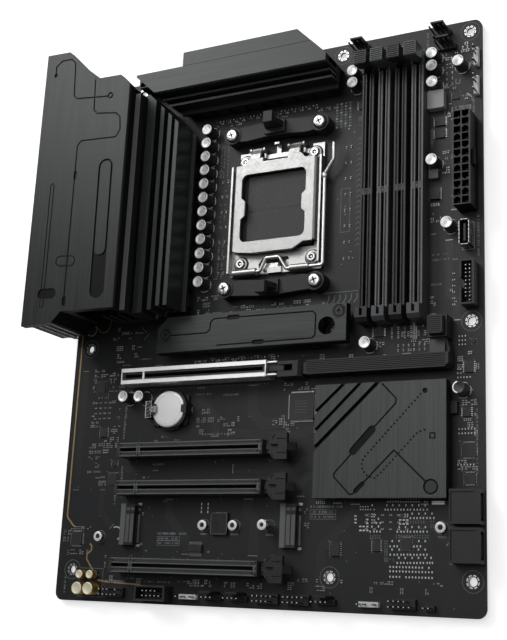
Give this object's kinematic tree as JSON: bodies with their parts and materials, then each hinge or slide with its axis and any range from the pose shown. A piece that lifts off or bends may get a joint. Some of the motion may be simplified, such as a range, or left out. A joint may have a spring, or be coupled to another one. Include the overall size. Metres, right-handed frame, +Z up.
{
  "type": "motherboard",
  "caption": "Full-size computer motherboard with hinged processor socket, memory and expansion slots with moving latches, finned heatsinks, rear connector cover and edge connectors.",
  "frame": {"origin": "centre of the lower rear mounting hole, on the underside of the board", "axes": "+Z up out of the component side, +Y along the long edge towards the processor end, +X from the rear connector edge towards the front edge"},
  "size_m": [0.2563, 0.3092, 0.0501],
  "materials": {
    "laminate": "matt dark solder mask",
    "backplate_steel": "black plated steel",
    "socket_plastic": "moulded",
    "contacts": "fine plated contacts",
    "nickel": "bright nickel-plated steel",
    "screw_steel": "bright",
    "black_moulding": "fine texture",
    "black_aluminium": "black anodised, brushed",
    "thermal_pad": "soft",
    "chip_black": "moulded",
    "ferrite": "pressed ferrite",
    "dark_screw": "black zinc",
    "shield_steel": "dark satin",
    "port_steel": "bright",
    "jack_black": "moulded",
    "gold": "gold-plated",
    "cap_can": "satin can",
    "gold_can": "satin gold sleeve",
    "cell_steel": "satin",
    "power_black": "moulded",
    "passives": "fired",
    "slot_black": "moulded",
    "slot_grey": "moulded"
  },
  "bodies": {
    "board": {"antenna_connectors": "gold", "atx_connector": "power_black", "audio_capacitors": "gold_can", "audio_jacks": "jack_black", "battery_holder": "black_moulding", "capacitors": "cap_can", "chips": "chip_black", "chipset": "chip_black", "chipset_heatsink": "black_aluminium", "chokes": "ferrite", "coin_cell": "cell_steel", "cooler_brackets": "black_moulding", "cpu_socket": "socket_plastic", "dimm_slot_1": "slot_black", "dimm_slot_2": "slot_grey", "dimm_slot_3": "slot_black", "dimm_slot_4": "slot_grey", "eps_connectors": "power_black", "flashback_switch": "black_moulding", "heatsink_screws": "dark_screw", "io_cover": "black_aluminium", "io_shield": "shield_steel", "lan_port": "port_steel", "m2_connectors": "black_moulding", "m2_heatsink": "black_aluminium", "m2_standoffs": "screw_steel", "pcb": "laminate", "pcie_armour": "nickel", "pcie_slot_1": "slot_black", "pcie_slot_2": "slot_black", "pcie_slot_3": "slot_black", "pcie_slot_4": "slot_black", "pin_headers": "black_moulding", "power_stages": "chip_black", "release_housing": "black_moulding", "sata_ports": "black_moulding", "smd_parts": "passives", "socket_backplate": "backplate_steel", "socket_contacts": "contacts", "socket_frame": "nickel", "socket_screws": "screw_steel", "thermal_pads": "thermal_pad", "usb_headers": "black_moulding", "usb_ports": "port_steel", "video_port": "port_steel", "vrm_heatsink_left": "black_aluminium", "vrm_heatsink_top": "black_aluminium"},
    "load_plate": {"load_plate": "nickel"},
    "load_lever": {"load_lever": "nickel"},
    "release_button": {"release_button": "black_moulding"},
    "release_rod": {"release_rod": "black_moulding"},
    "flashback_button": {"flashback_button": "black_moulding"},
    "dimm_latch_1": {"dimm_latch_1": "slot_black"},
    "pcie_latch_1": {"pcie_latch_1": "black_moulding"},
    "dimm_latch_2": {"dimm_latch_2": "slot_grey"},
    "pcie_latch_2": {"pcie_latch_2": "black_moulding"},
    "dimm_latch_3": {"dimm_latch_3": "slot_black"},
    "pcie_latch_3": {"pcie_latch_3": "black_moulding"},
    "dimm_latch_4": {"dimm_latch_4": "slot_grey"},
    "pcie_latch_4": {"pcie_latch_4": "black_moulding"}
  },
  "joints": [
    {"name": "load_plate_hinge", "type": "hinge", "parent": "board", "child": "load_plate", "pos_m": [0.11844, 0.23109, 0.0049], "axis": [-1, 0, 0], "range_deg": [0, 110]},
    {"name": "load_lever_hinge", "type": "hinge", "parent": "board", "child": "load_lever", "pos_m": [0.11844, 0.15999, 0.0059], "axis": [1, 0, 0], "range_deg": [0, 110]},
    {"name": "release_button_press", "type": "slide", "parent": "board", "child": "release_button", "axis": [0, 0, -1], "range_m": [0, 0.003]},
    {"name": "release_rod_slide", "type": "slide", "parent": "board", "child": "release_rod", "axis": [-1, 0, 0], "range_m": [0, 0.0013]},
    {"name": "pcie_latch_1_hinge", "type": "hinge", "parent": "board", "child": "pcie_latch_1", "pos_m": [0.12884, 0.10439, 0.0078], "axis": [0, 1, 0], "range_deg": [0, 17.5]},
    {"name": "flashback_button_press", "type": "slide", "parent": "board", "child": "flashback_button", "axis": [1, 0, 0], "range_m": [0, 0.0008]},
    {"name": "dimm_latch_1_hinge", "type": "hinge", "parent": "board", "child": "dimm_latch_1", "pos_m": [0.17404, 0.26769, 0.0056], "axis": [-1, 0, 0], "range_deg": [0, 28]},
    {"name": "dimm_latch_2_hinge", "type": "hinge", "parent": "board", "child": "dimm_latch_2", "pos_m": [0.18314, 0.26769, 0.0056], "axis": [-1, 0, 0], "range_deg": [0, 28]},
    {"name": "pcie_latch_2_hinge", "type": "hinge", "parent": "board", "child": "pcie_latch_2", "pos_m": [0.12544, 0.06375, 0.0056], "axis": [0, 1, 0], "range_deg": [0, 20]},
    {"name": "dimm_latch_3_hinge", "type": "hinge", "parent": "board", "child": "dimm_latch_3", "pos_m": [0.19244, 0.26769, 0.0056], "axis": [-1, 0, 0], "range_deg": [0, 28]},
    {"name": "pcie_latch_3_hinge", "type": "hinge", "parent": "board", "child": "pcie_latch_3", "pos_m": [0.12544, 0.04343, 0.0056], "axis": [0, 1, 0], "range_deg": [0, 20]},
    {"name": "dimm_latch_4_hinge", "type": "hinge", "parent": "board", "child": "dimm_latch_4", "pos_m": [0.20174, 0.26769, 0.0056], "axis": [-1, 0, 0], "range_deg": [0, 28]},
    {"name": "pcie_latch_4_hinge", "type": "hinge", "parent": "board", "child": "pcie_latch_4", "pos_m": [0.12544, 0.00279, 0.0056], "axis": [0, 1, 0], "range_deg": [0, 20]}
  ],
  "couplings": [
    {"joint": "release_rod_slide", "follows": "release_button_press", "ratio": 0.4},
    {"joint": "pcie_latch_1_hinge", "follows": "release_button_press", "rad_per_m": 100}
  ]
}
